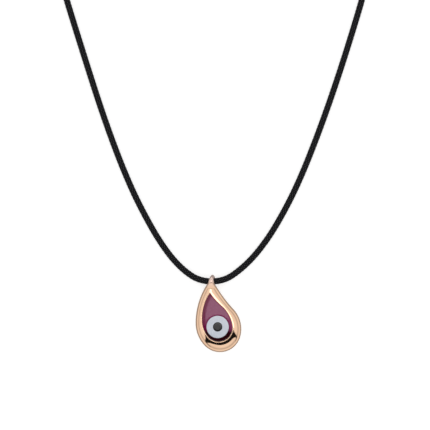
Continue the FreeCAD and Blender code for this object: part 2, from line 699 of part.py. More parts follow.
def make_clasp(hinge, heading):
    placement = hang("clasp", hinge, heading, 0.0, "clasp_eye_wire", "ring_wire", "clasp_play")
    make_clasp_body(placement)
    make_clasp_lever(placement)
    rivet_foot = Vector(dim("rivet_x"), dim("rivet_y"), -dim("clasp_thickness") / 2)
    rivet = cylinder("rivet_shank", "dims.rivet_radius", "dims.clasp_thickness", Placement())
    keep(rivet, "clasp_rivet", placement * Placement(rivet_foot, Rotation()))
    spring = bind(doc.addObject("Part::Box", "spring_leaf"), Length="dims.spring_thickness",
                  Width="dims.spring_length", Height="dims.spring_height")
    spring_corner = Vector(dim("clasp_start") + dim("slot_wall"), dim("spring_y"),
                           -dim("spring_height") / 2)
    keep(spring, "clasp_spring", placement * Placement(spring_corner, Rotation()))


# ---------------------------------------------------------------- the whole necklace

bail_middle = (dim("bail_head_left") + dim("bail_head_right")) / 2
hinges["drop"] = (Vector(bail_middle, sheet_value(BAIL_Y), dim("bail_radius")), Vector(-1, 0, 0))
make_drop_frame()
make_bail_loop()
make_purple_enamel()
make_eye()
make_cord()

clasp_eye = make_end_cap("end_cap_clasp_side", CORD_ROUTE[0], CORD_ROUTE[1], RING_TILT)
clasp_ring = make_jump_ring("jump_ring_clasp_side", clasp_eye, CLASP_RING_HEADING, -RING_TILT)
make_clasp(clasp_ring, CLASP_HEADING)

chain_eye = make_end_cap("end_cap_chain_side", CORD_ROUTE[-1], CORD_ROUTE[-2], RING_TILT)
hanger = make_jump_ring("jump_ring_chain_side", chain_eye, CHAIN_RING_HEADING, -RING_TILT)
held_wire = "ring_wire"
for index in range(LINK_COUNT):
    lean = RING_TILT if index % 2 == 0 else -RING_TILT
    hanger = make_chain_link(f"chain_link_{index + 1:02d}", hanger,
                             FIRST_LINK_HEADING + index * LINK_TURN, lean, held_wire)
    held_wire = "link_wire"
end_lean = RING_TILT if LINK_COUNT % 2 == 0 else -RING_TILT
make_end_drop(hanger, FIRST_LINK_HEADING + LINK_COUNT * LINK_TURN, end_lean)

doc.recompute()
for feature in doc.Objects:
    if "Invalid" in feature.State or "Error" in feature.State:
        raise RuntimeError(f"{feature.Name} failed: {feature.State}")
for piece in pieces:
    shape = piece.Shape
    if shape.isNull() or not shape.isValid() or len(shape.Solids) != 1 or shape.Volume <= 0:
        raise RuntimeError(f"{piece.Label} isn't one valid solid")

os.makedirs("parts", exist_ok=True)
for piece in pieces:
    piece.Shape.exportStep(os.path.join("parts", piece.Label + ".step"))
for name, (point, axis) in hinges.items():
    print(f"hinge of {name}: at {point.x:.2f} {point.y:.2f} {point.z:.2f},"
          f" axis {axis.x:.3f} {axis.y:.3f} {axis.z:.3f}")
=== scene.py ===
import math

import bpy
import numpy as np
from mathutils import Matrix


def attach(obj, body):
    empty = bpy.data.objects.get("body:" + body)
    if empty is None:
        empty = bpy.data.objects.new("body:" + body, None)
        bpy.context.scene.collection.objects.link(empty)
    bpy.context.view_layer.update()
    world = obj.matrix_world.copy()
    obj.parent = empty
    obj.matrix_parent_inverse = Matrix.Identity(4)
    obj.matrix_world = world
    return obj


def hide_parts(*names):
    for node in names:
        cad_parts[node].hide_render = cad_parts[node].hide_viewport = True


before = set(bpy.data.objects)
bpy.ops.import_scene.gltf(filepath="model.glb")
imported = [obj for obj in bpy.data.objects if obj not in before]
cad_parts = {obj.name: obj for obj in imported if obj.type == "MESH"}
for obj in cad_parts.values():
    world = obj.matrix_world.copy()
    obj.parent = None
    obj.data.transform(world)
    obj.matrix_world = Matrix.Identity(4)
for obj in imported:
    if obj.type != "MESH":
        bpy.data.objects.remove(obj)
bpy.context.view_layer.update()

# Evil-eye drop pendant on a braided cord necklace, seen from straight above.
# Lengths in this script are millimetres in the row frame, turned into metres as meshes are made.
MM = 0.001
TAU = 2 * math.pi
LATHE_SIDES = 160


# ---------------------------------------------------------------- meshes

def add_object(name, data):
    piece = bpy.data.objects.new(name, data)
    bpy.context.scene.collection.objects.link(piece)
    return piece


def mesh_object(name, points, faces, normals=None):
    """A smooth mesh piece from points in millimetres and a list of faces."""
    mesh = bpy.data.meshes.new(name)
    mesh.from_pydata((np.asarray(points, float) * MM).tolist(), [], faces)
    mesh.validate()
    mesh.polygons.foreach_set("use_smooth", [True] * len(mesh.polygons))
    if normals is not None and len(normals) == len(mesh.vertices):
        mesh.normals_split_custom_set_from_vertices(np.asarray(normals, float).tolist())
    mesh.update()
    return add_object(name, mesh)


def grid_faces(rows, columns, wrap_rows=False, wrap_columns=False):
    """Quads of a grid of points stored row by row."""
    r = np.arange(rows if wrap_rows else rows - 1)
    c = np.arange(columns if wrap_columns else columns - 1)
    r, c = np.meshgrid(r, c, indexing="ij")
    r1, c1 = (r + 1) % rows, (c + 1) % columns
    return np.stack([r * columns + c, r * columns + c1, r1 * columns + c1, r1 * columns + c],
                    axis=-1).reshape(-1, 4)


def lathe(name, profile, centre):
    """A turned piece about a vertical axis; profile is (radius, height) pairs from top to bottom."""
    count = LATHE_SIDES
    angle = np.linspace(0, TAU, count, endpoint=False)
    points = []
    for radius, height in profile:
        points.append(np.stack([centre[0] + radius * np.cos(angle), centre[1] + radius * np.sin(angle),
                                np.full(count, height)], axis=-1))
    points = np.concatenate(points)
    faces = grid_faces(len(profile), count, wrap_columns=True)[:, ::-1].tolist()
    faces.append(list(range(count)))
    faces.append(list(range(len(points) - 1, len(points) - 1 - count, -1)))
    return mesh_object(name, points, faces)


# ---------------------------------------------------------------- the cord

CORD_ROUTE = [
    (-20.5, 168.2, 1.35),
    (-36.0, 161.0, 1.35),
    (-50.4, 141.5, 1.0),
    (-54.4, 116.8, 1.0),
    (-45.6, 88.3, 1.0),
    (-37.7, 63.6, 1.0),
    (-29.8, 43.0, 1.0),
    (-22.6, 28.9, 1.0),
    (-17.1, 20.3, 1.0),
    (-11.9, 14.5, 1.0),
    (-6.1, 10.7, 2.2),
    (1.7, 10.7, 2.2),
    (7.7, 14.8, 1.0),
    (13.1, 20.3, 1.0),
    (19.1, 28.8, 1.0),
    (26.6, 43.0, 1.0),
    (34.8, 63.8, 1.0),
    (42.8, 87.5, 1.0),
    (51.2, 115.8, 1.0),
    (47.5, 138.5, 1.0),
    (33.5, 153.5, 1.35),
    (16.5, 157.0, 1.35),
]
CORD_DIAMETER = 2.0
CORD_RINGS = 2040
CORD_SIDES = 48
BRAID_STRANDS = 8  # strands each way round
BRAID_STEP = 1.3  # length of one diamond along the cord
BRAID_DEPTH = 0.11
BRAID_CREST = 1.08  # radius over the crowns of the strands
CORD_LIFT = 0.08  # keeps the crowns above the surface


def route_line(route):
    """Points along the smooth line that a NURBS spline makes of a route, in millimetres."""
    curve = bpy.data.curves.new("route", "CURVE")
    curve.dimensions = "3D"
    curve.resolution_u = 64
    spline = curve.splines.new("NURBS")
    spline.points.add(len(route) - 1)
    for point, at in zip(spline.points, route):
        point.co = (at[0], at[1], at[2], 1.0)
    spline.order_u = 3
    spline.use_endpoint_u = True
    holder = add_object("route", curve)
    bpy.context.view_layer.update()
    mesh = bpy.data.meshes.new_from_object(holder)
    line = np.array([v.co for v in mesh.vertices], float)
    bpy.data.meshes.remove(mesh)
    bpy.data.objects.remove(holder)
    bpy.data.curves.remove(curve)
    return line


def evenly(line, count):
    """The same line at evenly spaced points, and how far along each one is."""
    along = np.concatenate([[0], np.cumsum(np.linalg.norm(np.diff(line, axis=0), axis=1))])
    at = np.linspace(0, along[-1], count)
    return np.stack([np.interp(at, along, line[:, i]) for i in range(3)], axis=-1), at


def braid_height(around, along):
    """Height of a plain round braid, 0 to 1, from turns around the cord and millimetres along it."""
    one = around * BRAID_STRANDS + along / BRAID_STEP
    other = around * BRAID_STRANDS - along / BRAID_STEP
    cell_one, cell_other = np.floor(one), np.floor(other)
    across_one, across_other = one - cell_one, other - cell_other
    round_one = 1 - np.abs(2 * across_one - 1) ** 2.4
    round_other = 1 - np.abs(2 * across_other - 1) ** 2.4
    over = (cell_one + cell_other) % 2 == 0
    high, low = 0.55, 0.45
    height_one = round_one * np.where(over, high + low * np.sin(math.pi * across_other),
                                      high - low * np.sin(math.pi * across_other))
    height_other = round_other * np.where(over, high - low * np.sin(math.pi * across_one),
                                          high + low * np.sin(math.pi * across_one))
    return np.maximum(height_one, height_other)


def make_cord():
    line, along = evenly(route_line(CORD_ROUTE), CORD_RINGS)
    tangent = np.gradient(line, axis=0)
    tangent /= np.linalg.norm(tangent, axis=1)[:, None]
    side = np.cross(tangent, [0.0, 0.0, 1.0])
    side /= np.linalg.norm(side, axis=1)[:, None]
    up = np.cross(side, tangent)
    turn = np.arange(CORD_SIDES) / CORD_SIDES
    height = braid_height(turn[None, :], along[:, None])
    radius = BRAID_CREST - BRAID_DEPTH * (1 - height)
    ring = (np.cos(TAU * turn)[None, :, None] * side[:, None, :]
            + np.sin(TAU * turn)[None, :, None] * up[:, None, :])
    centres = line + np.array([0.0, 0.0, CORD_LIFT])
    points = (centres[:, None, :] + radius[:, :, None] * ring).reshape(-1, 3)
    faces = grid_faces(CORD_RINGS, CORD_SIDES, wrap_columns=True)[:, ::-1].tolist()
    faces.append(list(range(CORD_SIDES)))
    faces.append(list(range(len(points) - 1, len(points) - 1 - CORD_SIDES, -1)))
    cord = mesh_object("braided_cord", points, faces)
    crown = cord.data.attributes.new("crown", "FLOAT", "POINT")
    crown.data.foreach_set("value", height.astype(np.float32).ravel())
    layer = cord.data.uv_layers.new(name="braid")
    loops = np.zeros(len(cord.data.loops), int)
    cord.data.loops.foreach_get("vertex_index", loops)
    row, column = loops // CORD_SIDES, loops % CORD_SIDES
    starts = np.zeros(len(cord.data.polygons), int)
    cord.data.polygons.foreach_get("loop_start", starts)
    u = column / CORD_SIDES
    for corner in range(4):
        at = starts[:-2] + corner
        last = (column[starts[:-2, None] + np.arange(4)[None, :]].max(axis=1) == CORD_SIDES - 1)
        wraps = last & (column[at] == 0)
        u[at[wraps]] = 1.0
    uv = np.stack([u * TAU * CORD_DIAMETER / 2, along[row]], axis=-1)
    layer.data.foreach_set("uv", uv.astype(np.float32).ravel())
    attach(cord, "cord")
    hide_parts("cord")
    return cord, line


# ---------------------------------------------------------------- the drop's shape

# Outlines are arcs (centre x, centre y, radius, from angle, to angle, side); side is 1 where the
# outline bulges and -1 where it is hollow. Angles run counter-clockwise, in radians.
OUTER_ARCS = [
    (0.5, -5.9, 7.0, 3.92214, 6.00494, 1),
    (-2.0, -5.18586, 9.6, 6.00494, 7.03002, 1),
    (40.2693, 33.94298, 48.0, 3.67346, 3.88843, -1),
    (1.055, 10.868, 2.5, 3.15, 3.67346, -1),
    (-5.9525, 10.952, 2.5, 5.7117, 6.2, -1),
    (15.99985, -3.16492, 23.6, 2.5701, 3.14637, 1),
    (3.2, -3.22605, 10.8, 3.14637, 3.92214, 1),
]
CELL_ARCS = [
    (0.05, -4.8, 4.6, 3.79263, 6.41347, 1),
    (-5.8, -5.56649, 10.5, 6.41347, 7.14737, 1),
    (14.52203, 18.23909, 20.8, 3.7239, 4.00577, -1),
    (10.34564, -1.88995, 15.8, 2.55923, 3.17742, 1),
    (3.55, -2.13354, 9.0, 3.17742, 3.79263, 1),
]
LEFT_FLANK = CELL_ARCS[3]
CELL_TIP = np.array([-2.85, 6.8])
SPINE_END = np.array([-2.43, 10.7])
BAIL_Y, BAIL_Z = 10.7, 2.2
BAIL_RADIUS, BAIL_BORE = 2.2, 1.2
FRAME_TOP = 3.0
CELL_FLOOR = 1.4
EYE = (-0.27, -4.45)


def outline_distance(x, y, arcs, corners=()):
    """Signed distance to an outline of tangent arcs, negative inside; corners are its sharp points."""
    best = np.full(np.shape(x), 1e9)
    for cx, cy, radius, start, end, side in arcs:
        dx, dy = x - cx, y - cy
        angle = (np.arctan2(dy, dx) - start + 1e-4) % TAU
        distance = np.where(angle <= end - start + 2e-4, (np.hypot(dx, dy) - radius) * side, 1e9)
        best = np.where(np.abs(distance) < np.abs(best), distance, best)
    for cx, cy in corners:
        distance = np.hypot(x - cx, y - cy)
        best = np.where(distance < np.abs(best), distance, best)
    return best


def spine_distance(x, y):
    """Distance to the crest line that runs from the cell's point up the tongue."""
    run = SPINE_END - CELL_TIP
    share = np.clip(((x - CELL_TIP[0]) * run[0] + (y - CELL_TIP[1]) * run[1]) / (run @ run), 0, 1.3)
    return np.hypot(x - CELL_TIP[0] - share * run[0], y - CELL_TIP[1] - share * run[1])


def smooth_max(a, b, width):
    lap = np.maximum(0, 1 - np.abs(a - b) / width)
    return np.maximum(a, b) + width * lap * lap / 4


def slope_between(value, low, high, blend):
    """Climbs evenly from 0 to 1 between two values, with rounded corners."""
    def bend(over):
        return np.where(over > blend, over, np.maximum(over + blend, 0) ** 2 / (4 * blend))

    return (bend(value - low) - bend(value - high)) / (high - low)


TONGUE_RISE = (8.3, 10.6, 0.12)  # where the tongue climbs to the bail, and how round its corners are
RIM_DOME = 1.3  # height of the rim's rounded part
BAIL_DOME = 0.85  # the same at the bail
NARROWEST_RIM = 0.3
RIM_SCALE = 1.2
OUTSIDE = 1.5  # a plain positive value well away from the casting
BACK_ROUND = 0.5
BORE_ROUND = 0.2
FLOOR_ROUND = 0.1
LIP_ROUND = 0.22
STRAP_THICKNESS = 0.85
STRAP_OVERLAP = 0.6  # how far the strap reaches into the tongue

# Middle and half width of the bail's strap round the cord. Angles are degrees from the top of the
# bail: 90 is its front, -90 its back.
STRAP_ANGLE = (-180, -130, -90, -50, -15, 15, 50, 75, 90, 180)
STRAP_MIDDLE = (-2.3, -2.1, -1.85, -1.72, -1.85, -2.1, -2.3, -2.4, -2.425, -2.45)
STRAP_HALF = (1.3, 1.1, 0.85, 0.68, 0.62, 0.62, 0.76, 0.95, 1.025, 1.1)


def fields_2d(x, y):
    """What the drop's shape needs to know about each place in plan."""
    cell = outline_distance(x, y, CELL_ARCS, (CELL_TIP,))
    edge = np.maximum(-outline_distance(x, y, OUTER_ARCS), -2.0)
    inner = np.minimum(np.maximum(cell, 0), spine_distance(x, y))
    return cell, edge, inner


def casting(x, y, z, plan=None):
    """Implicit shape of the drop's casting with its tongue and bail; negative inside."""
    cell, edge, inner = plan if plan is not None else fields_2d(x, y)
    rise = slope_between(y, *TONGUE_RISE)
    top = FRAME_TOP + (BAIL_Z + BAIL_RADIUS - FRAME_TOP) * rise
    dome = RIM_DOME - (RIM_DOME - BAIL_DOME) * rise
    width = np.maximum(edge + inner, NARROWEST_RIM)
    level = (z - (top - dome)) / dome
    rim = np.where(level > 0, (np.sqrt((inner / width) ** 2 + np.maximum(level, 0) ** 2) - 1)
                   * np.minimum(width, RIM_SCALE), np.minimum(inner / width - 1, 1) * width)
    rim = np.where(edge <= -1.0, OUTSIDE, rim)
    block = smooth_max(rim, -z, BACK_ROUND)
    block = np.maximum(block, y - BAIL_Y)

    reach = np.hypot(y - BAIL_Y, z - BAIL_Z)
    angle = np.degrees(np.arctan2(z - BAIL_Z, y - BAIL_Y))
    middle = np.interp(angle, STRAP_ANGLE, STRAP_MIDDLE)
    half = np.interp(angle, STRAP_ANGLE, STRAP_HALF)
    foot = BAIL_RADIUS - STRAP_THICKNESS
    lift = np.maximum((reach - foot) / (BAIL_RADIUS - foot), 0)
    crown = (np.sqrt(((x - middle) / half) ** 2 + lift ** 2) - 1) * STRAP_THICKNESS
    strap = np.where(reach > foot, crown, (np.abs(x - middle) / half - 1) * half)
    strap = np.where(y < BAIL_Y - STRAP_OVERLAP, OUTSIDE, strap)
    shape = np.minimum(block, strap)
    shape = smooth_max(shape, BAIL_BORE - reach, BORE_ROUND)
    hollow = smooth_max(cell, CELL_FLOOR - z, FLOOR_ROUND)
    return smooth_max(shape, -hollow, LIP_ROUND)


def gradient(x, y, z, shape, reach=0.02):
    return np.stack([shape(x + reach, y, z) - shape(x - reach, y, z),
                     shape(x, y + reach, z) - shape(x, y - reach, z),
                     shape(x, y, z + reach) - shape(x, y, z - reach)], axis=-1) / (2 * reach)


def surface_net(values, low, step):
    """One point in each cell that the surface crosses, and a quad for each grid edge it cuts."""
    inside = values < 0
    nx, ny, nz = values.shape
    cells = (nx - 1, ny - 1, nz - 1)
    total = np.zeros((*cells, 3))
    count = np.zeros(cells)
    corners = [(i, j, k) for i in (0, 1) for j in (0, 1) for k in (0, 1)]

    def at(array, i, j, k):
        return array[i:i + cells[0], j:j + cells[1], k:k + cells[2]]

    for a in corners:
        for axis in range(3):
            if a[axis]:
                continue
            b = tuple(1 if n == axis else a[n] for n in range(3))
            va, vb = at(values, *a), at(values, *b)
            cut = at(inside, *a) != at(inside, *b)
            share = np.where(cut, va / np.where(cut, va - vb, 1), 0)
            for n in range(3):
                total[..., n] += np.where(cut, a[n] + (share if n == axis else 0), 0)
            count += cut
    used = count > 0
    number = np.full(cells, -1)
    number[used] = np.arange(used.sum())
    base = np.stack(np.nonzero(used), axis=-1)
    points = (base + total[used] / count[used][:, None]) * step + low
    quads = []
    for axis in range(3):
        first = [slice(1, -1)] * 3
        second = [slice(1, -1)] * 3
        first[axis] = slice(0, -1)
        second[axis] = slice(1, None)
        one, two = inside[tuple(first)], inside[tuple(second)]
        cut = np.stack(np.nonzero(one != two), axis=-1)
        starts = one[tuple(cut.T)]
        cut = cut + np.array([0 if n == axis else 1 for n in range(3)])
        u, v = [n for n in range(3) if n != axis]
        ring = []
        for du, dv in ((-1, -1), (0, -1), (0, 0), (-1, 0)):
            cell = cut.copy()
            cell[:, u] += du
            cell[:, v] += dv
            ring.append(number[tuple(cell.T)])
        quad = np.stack(ring, axis=-1)
        turned = starts if axis != 1 else ~starts
        quad[~turned] = quad[~turned][:, ::-1]
        quads.append(quad)
    return points, np.concatenate(quads)


NET_LOW = np.array([-8.0, -13.3, -0.3])  # the box that the casting is meshed in
NET_HIGH = np.array([8.1, 13.3, 4.8])
NET_STEP = 0.11
NORMAL_REACH = 0.03
SETTLING_STEPS = 3  # moves that bring each point onto the surface


def make_casting(step):
    counts = np.ceil((NET_HIGH - NET_LOW) / step).astype(int)
    x, y, z = [NET_LOW[n] + step * np.arange(counts[n]) for n in range(3)]
    plan = [field[:, :, None] for field in fields_2d(x[:, None], y[None, :])]
    values = casting(x[:, None, None], y[None, :, None], z[None, None, :], plan)
    points, quads = surface_net(values, NET_LOW, step)
    for _ in range(SETTLING_STEPS):
        spot = points.T
        slope = gradient(*spot, casting)
        length = np.maximum((slope ** 2).sum(axis=1), 0.05)
        shift = -slope * (casting(*spot) / length)[:, None]
        size = np.linalg.norm(shift, axis=1)[:, None]
        points = points + shift * np.minimum(1, 0.5 * step / np.maximum(size, 1e-9))
    normal = gradient(*points.T, casting, NORMAL_REACH)
    normal /= np.maximum(np.linalg.norm(normal, axis=1), 1e-9)[:, None]
    drop = mesh_object("drop_casting", points, quads.tolist(), normals=normal)
    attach(drop, "drop")
    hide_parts("drop_frame", "bail_loop")
    return drop


# ---------------------------------------------------------------- enamel and eye

WHITE_RADIUS = 3.7
PUPIL_RADIUS = 1.6
ENAMEL_TOP = 2.86
ENAMEL_CROWN = (-0.4, -2.2)
ENAMEL_CURVE = 0.010  # curvature of the enamel's crown, per millimetre
ENAMEL_RINGS = 64
ENAMEL_SPACING = 0.12  # between points along the enamel's outline
UNDER_EYE = 0.05  # how far the enamel runs under the eye, into the lip and above the cell's floor
UNDER_LIP = 0.06
ABOVE_FLOOR = 0.05
LIP_CLIMB, LIP_REACH = 0.05, 0.12
EYE_DIP, EYE_DIP_REACH = 0.03, 0.28


def enamel_height(x, y, edge, from_eye):
    """The enamel's surface: a low crown that climbs a little at the lip and dips round the eye."""
    crown = ENAMEL_TOP - ENAMEL_CURVE / 2 * ((x - ENAMEL_CROWN[0]) ** 2 + (y - ENAMEL_CROWN[1]) ** 2)
    climb = LIP_CLIMB * np.exp(-edge / LIP_REACH)
    dip = EYE_DIP * np.exp(-np.maximum(from_eye, 0) / EYE_DIP_REACH)
    return crown + climb - dip


def make_enamel():
    outline = []
    for x, y, radius, start, end, side in CELL_ARCS:
        count = max(8, int(radius * (end - start) / ENAMEL_SPACING))
        angles = np.linspace(start, end, count + 1)
        if side < 0:
            angles = angles[::-1]
        outline += [(x + radius * math.cos(a), y + radius * math.sin(a)) for a in angles[:-1]]
    outline = np.array(outline)
    eye = np.array(EYE)
    out = outline - eye
    reach = np.linalg.norm(out, axis=1)
    ahead = out / reach[:, None]
    inner = WHITE_RADIUS - UNDER_EYE
    share = np.linspace(0, 1, ENAMEL_RINGS)
    share = 0.5 * share + 0.5 * (1 - np.cos(math.pi * share)) / 2
    outer = reach + UNDER_LIP
    distance = inner + (outer - inner)[None, :] * share[:, None]
    x = eye[0] + ahead[None, :, 0] * distance
    y = eye[1] + ahead[None, :, 1] * distance
    edge = np.maximum(-outline_distance(x, y, CELL_ARCS, (CELL_TIP,)), 0)
    z = enamel_height(x, y, edge, distance - WHITE_RADIUS)
    top = np.stack([x, y, z], axis=-1)
    floor = top[[-1, 0]].copy()
    floor[:, :, 2] = CELL_FLOOR + ABOVE_FLOOR
    loop = np.concatenate([top, floor])
    faces = grid_faces(len(loop), len(outline), wrap_rows=True, wrap_columns=True)[:, ::-1]
    enamel = mesh_object("purple_enamel_fill", loop.reshape(-1, 3), faces.tolist())
    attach(enamel, "drop")
    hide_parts("purple_enamel")
    return enamel


def rounded_disc(radius, top, bottom, round_width, round_height):
    """Profile of a disc with a softly rounded edge, from the middle of its top to its bottom."""
    flat = radius - round_width
    profile = [(flat * share, top) for share in np.linspace(0.02, 1, 14)]
    for share in np.linspace(0, 1, 16)[1:]:
        angle = share * math.pi / 2
        profile.append((flat + round_width * math.sin(angle),
                        top - round_height * (1 - math.cos(angle))))
    profile.append((radius, bottom))
    return profile


def make_eye():
    profile = rounded_disc(WHITE_RADIUS, top=2.9, bottom=2.3, round_width=0.16, round_height=0.1)
    white = lathe("white_eye_disc", profile, EYE)
    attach(white, "drop")
    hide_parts("white_enamel_disc")
    profile = rounded_disc(PUPIL_RADIUS, top=3.0, bottom=2.6, round_width=0.5, round_height=0.14)
    pupil = lathe("dark_pupil", profile, EYE)
    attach(pupil, "drop")
    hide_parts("pupil")
    return white, pupil


# ---------------------------------------------------------------- materials

# Places in this section are in metres and noise scales are per metre.
BLUSH = (0.0085, 0.0115)  # heights up the drop between which the gold turns pinker
# Painted shade in the enamel's colour: FOOT_SHADE, EDGE_SHADE and EYE_SHADE place a near-black foot, a
# dark strip along the left edge and a darker ring round the eye.
FOOT_SHADE = (-0.0064, -0.0050)  # the same for the enamel's dark foot
EDGE_SHADE = (0.0014, 0.0007)  # from the enamel's left edge, where its shade begins and ends
EYE_SHADE = (0.00005, 0.00045)  # the same from the white of the eye
FAINT = 0.0001  # height of the bumps that break up a gloss


class Nodes:
    """A material whose nodes are added one by one."""

    def __init__(self, name):
        self.material = bpy.data.materials.new(name)
        self.material.use_nodes = True
        self.tree = self.material.node_tree
        self.shader = self.tree.nodes["Principled BSDF"]

    def add(self, kind, **values):
        node = self.tree.nodes.new("ShaderNode" + kind)
        for key, value in values.items():
            if key in node.bl_rna.properties:
                setattr(node, key, value)
            else:
                node.inputs[key.replace("_", " ")].default_value = value
        return node

    def link(self, output, target):
        self.tree.links.new(output, target)

    def set(self, **values):
        for key, value in values.items():
            self.shader.inputs[key.replace("_", " ")].default_value = value

    def noise(self, source, scale, detail=4.0, rough=0.55):
        node = self.add("TexNoise", Scale=scale, Detail=detail, Roughness=rough)
        self.link(source, node.inputs["Vector"])
        return node.outputs["Fac"]

    def ramp(self, factor, stops):
        node = self.add("ValToRGB")
        self.link(factor, node.inputs["Fac"])
        elements = node.color_ramp.elements
        while len(elements) < len(stops):
            elements.new(0.5)
        for element, (position, colour) in zip(elements, stops):
            element.position = position
            element.color = (*colour, 1)
        return node.outputs["Color"]

    def range(self, value, low, high, to_low, to_high):
        node = self.add("MapRange", clamp=True)
        self.link(value, node.inputs["Value"])
        ends = {"From Min": low, "From Max": high, "To Min": to_low, "To Max": to_high}
        for name, number in ends.items():
            node.inputs[name].default_value = number
        return node.outputs["Result"]

    def bump(self, height, strength, distance):
        node = self.add("Bump", Strength=strength, Distance=distance)
        self.link(height, node.inputs["Height"])
        self.link(node.outputs["Normal"], self.shader.inputs["Normal"])

    def coordinates(self):
        return self.add("TexCoord").outputs["Object"]

    def distance(self, place, centre):
        """How far a place is from a centre, given in millimetres, on the enamel's level."""
        node = self.add("VectorMath", operation="DISTANCE")
        self.link(place, node.inputs[0])
        node.inputs[1].default_value = (centre[0] * MM, centre[1] * MM, ENAMEL_TOP * MM)
        return node.outputs["Value"]

    def mix(self, factor, colour, other):
        """From a plain colour, where the factor is 0, to another node's colour."""
        node = self.add("Mix", data_type="RGBA")
        self.link(factor, node.inputs["Factor"])
        node.inputs["A"].default_value = (*colour, 1)
        self.link(other, node.inputs["B"])
        return node.outputs["Result"]


def rose_gold(name, rough_low, rough_high, bump):
    """Polished rose gold with the faint cloudiness and hairlines of handling."""
    nodes = Nodes(name)
    place = nodes.coordinates()
    cloud = nodes.noise(place, 260.0, 5.0)
    body = nodes.ramp(cloud, [(0.3, (0.86, 0.56, 0.38)), (0.7, (0.94, 0.64, 0.44))])
    split = nodes.add("SeparateXYZ")
    nodes.link(place, split.inputs["Vector"])
    blush = nodes.add("Mix", data_type="RGBA")
    nodes.link(nodes.range(split.outputs["Y"], *BLUSH, 0.0, 1.0), blush.inputs["Factor"])
    nodes.link(body, blush.inputs["A"])
    blush.inputs["B"].default_value = (0.93, 0.70, 0.62, 1)
    nodes.link(blush.outputs["Result"], nodes.shader.inputs["Base Color"])
    haze = nodes.noise(place, 900.0, 6.0, 0.65)
    nodes.link(nodes.range(haze, 0.3, 0.75, rough_low, rough_high), nodes.shader.inputs["Roughness"])
    nodes.set(Metallic=1.0)
    nodes.bump(nodes.noise(place, 1600.0, 4.0), bump, FAINT)
    return nodes.material


def purple_enamel():
    """Wine-purple glass enamel with painted shade: near-black at the foot, darker along the left side
    and in a ring round the eye.
    """
    nodes = Nodes("wine_enamel")
    place = nodes.coordinates()
    split = nodes.add("SeparateXYZ")
    nodes.link(place, split.inputs["Vector"])
    cloud = nodes.noise(place, 700.0, 5.0)
    above_foot = nodes.range(split.outputs["Y"], *FOOT_SHADE, 0.0, 1.0)
    edge = LEFT_FLANK[2] * MM
    off_edge = nodes.range(nodes.distance(place, LEFT_FLANK), edge - EDGE_SHADE[0], edge - EDGE_SHADE[1],
                           1.0, 0.0)
    rim = WHITE_RADIUS * MM
    off_eye = nodes.range(nodes.distance(place, EYE), rim + EYE_SHADE[0], rim + EYE_SHADE[1], 0.35, 1.0)
    open_part = nodes.add("Math", operation="MULTIPLY")
    nodes.link(off_edge, open_part.inputs[0])
    nodes.link(off_eye, open_part.inputs[1])
    body = nodes.ramp(cloud, [(0.3, (0.225, 0.036, 0.108)), (0.7, (0.26, 0.048, 0.13))])
    # Painted shade: a darker wine along the left edge and in a ring round the eye, where the enamel
    # would mirror something dim.
    edged = nodes.mix(open_part.outputs["Value"], (0.147, 0.002, 0.043), body)
    # Painted shade: the foot turns near-black, as if it mirrored something dark.
    painted_shade_colour = nodes.mix(above_foot, (0.022, 0.0004, 0.003), edged)
    nodes.link(painted_shade_colour, nodes.shader.inputs["Base Color"])
    nodes.link(nodes.range(cloud, 0.3, 0.7, 0.03, 0.07), nodes.shader.inputs["Roughness"])
    nodes.link(nodes.range(off_edge, 0.0, 1.0, 0.22, 0.40), nodes.shader.inputs["Specular IOR Level"])
    nodes.set(IOR=1.5)
    nodes.bump(nodes.noise(place, 500.0, 3.0), 0.02, FAINT)
    return nodes.material


def lacquer(name, dark, light, smooth, cloudy):
    """Opaque glossy enamel with slight clouding."""
    nodes = Nodes(name)
    place = nodes.coordinates()
    cloud = nodes.noise(place, 800.0, 5.0)
    nodes.link(nodes.ramp(cloud, [(0.3, dark), (0.7, light)]), nodes.shader.inputs["Base Color"])
    nodes.link(nodes.range(cloud, 0.3, 0.7, smooth, cloudy), nodes.shader.inputs["Roughness"])
    nodes.set(IOR=1.5)
    nodes.bump(nodes.noise(place, 600.0, 3.0), 0.03, FAINT)
    return nodes.material


def braided_thread():
    """Black waxed thread: fine fibres along the strands, and a shine on their crowns."""
    nodes = Nodes("black_braid")
    uv = nodes.add("UVMap", uv_map="braid").outputs["UV"]
    place = nodes.coordinates()
    fibres = nodes.noise(uv, 9.0, 4.0, 0.7)
    wax = nodes.noise(place, 420.0, 4.0)
    nodes.link(nodes.ramp(fibres, [(0.35, (0.0015, 0.0015, 0.0025)), (0.7, (0.007, 0.007, 0.010))]),
               nodes.shader.inputs["Base Color"])
    nodes.link(nodes.range(wax, 0.35, 0.65, 0.26, 0.40), nodes.shader.inputs["Roughness"])
    crown = nodes.add("Attribute", attribute_name="crown").outputs["Fac"]
    nodes.link(nodes.range(crown, 0.72, 0.96, 0.06, 0.85), nodes.shader.inputs["Specular IOR Level"])
    nodes.set(IOR=1.45, Sheen_Weight=0.02, Sheen_Roughness=0.4)
    nodes.bump(fibres, 0.35, FAINT)
    return nodes.material


def spring_steel():
    """Drawn steel wire with a fine grain."""
    nodes = Nodes("spring_steel")
    place = nodes.coordinates()
    grain = nodes.noise(place, 2500.0, 4.0)
    nodes.link(nodes.ramp(grain, [(0.3, (0.42, 0.43, 0.45)), (0.7, (0.6, 0.61, 0.63))]),
               nodes.shader.inputs["Base Color"])
    nodes.set(Metallic=1.0)
    nodes.link(nodes.range(grain, 0.3, 0.7, 0.2, 0.35), nodes.shader.inputs["Roughness"])
    return nodes.material


# ---------------------------------------------------------------- the studio

VIEW_CENTRE = (-1.15, 32.8)
VIEW_WIDTH = 143.33
VIEW_LEVEL = 1.5  # height at which the view is that wide
LENS = 300.0
SENSOR = 36.0


